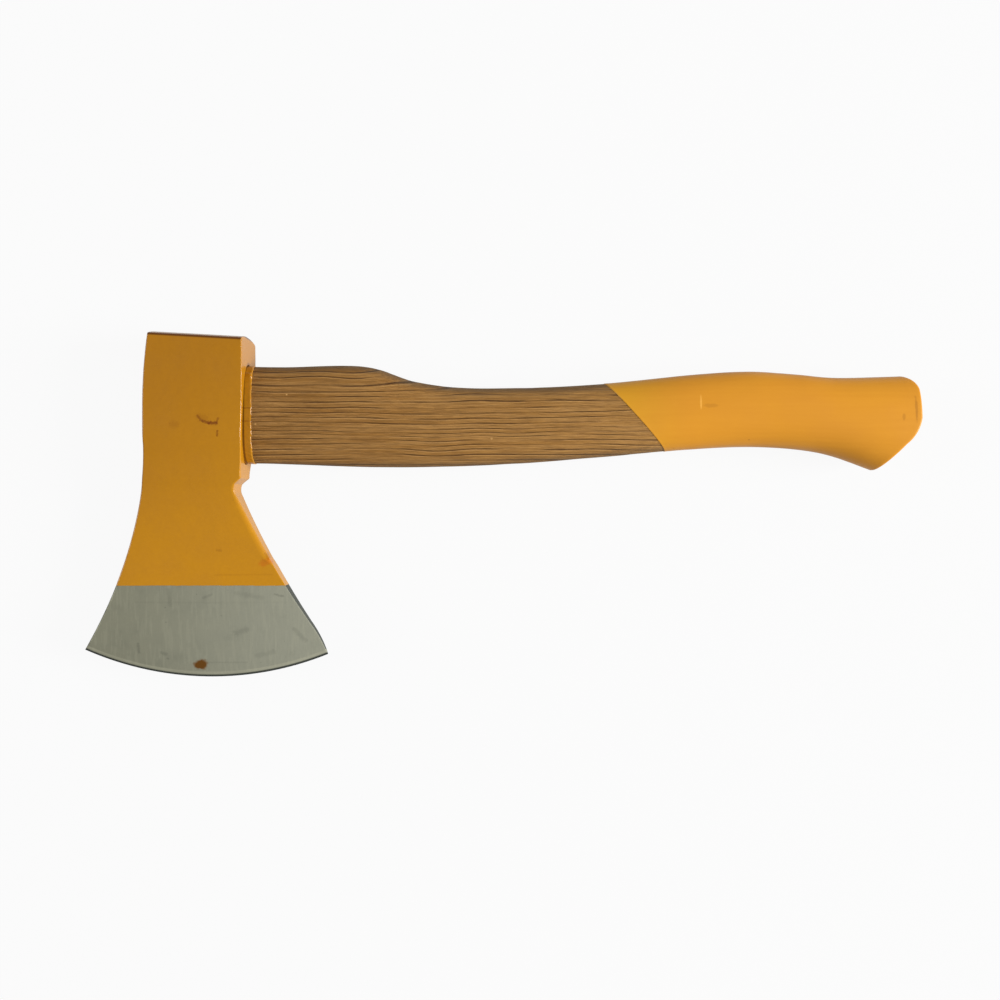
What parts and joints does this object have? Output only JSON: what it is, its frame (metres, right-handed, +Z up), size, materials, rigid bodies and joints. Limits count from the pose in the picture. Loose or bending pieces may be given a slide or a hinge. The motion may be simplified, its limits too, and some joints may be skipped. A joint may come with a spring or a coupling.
{
  "type": "hatchet",
  "caption": "Hatchet with a flared forged head, flat square poll, bare ground bit and curved wooden handle with a hooked butt, the grip end dipped in lacquer.",
  "frame": {"origin": "on the flat lower cheek of the head, which lies on the surface, straight below the centre of the eye", "axes": "the hatchet lies on its side; +X along the handle towards the butt, +Y towards the poll (the cutting edge is at -Y), +Z up, the normal of the upper cheek"},
  "size_m": [0.3757, 0.1562, 0.026],
  "materials": {
    "yellow_paint": "ochre yellow paint on forged steel; the bit below the straight paint line is bare satin steel",
    "handle_wood": "bare straight-grained hardwood; the last 40 percent is dipped in ochre yellow lacquer",
    "wedge_wood": "bare hardwood, sawn",
    "bare_steel": "dull steel with barbs"
  },
  "bodies": {
    "root": {"head": "yellow_paint", "handle": "handle_wood", "wooden_wedge": "wedge_wood", "steel_wedge_poll_side": "bare_steel", "steel_wedge_bit_side": "bare_steel"}
  },
  "joints": []
}
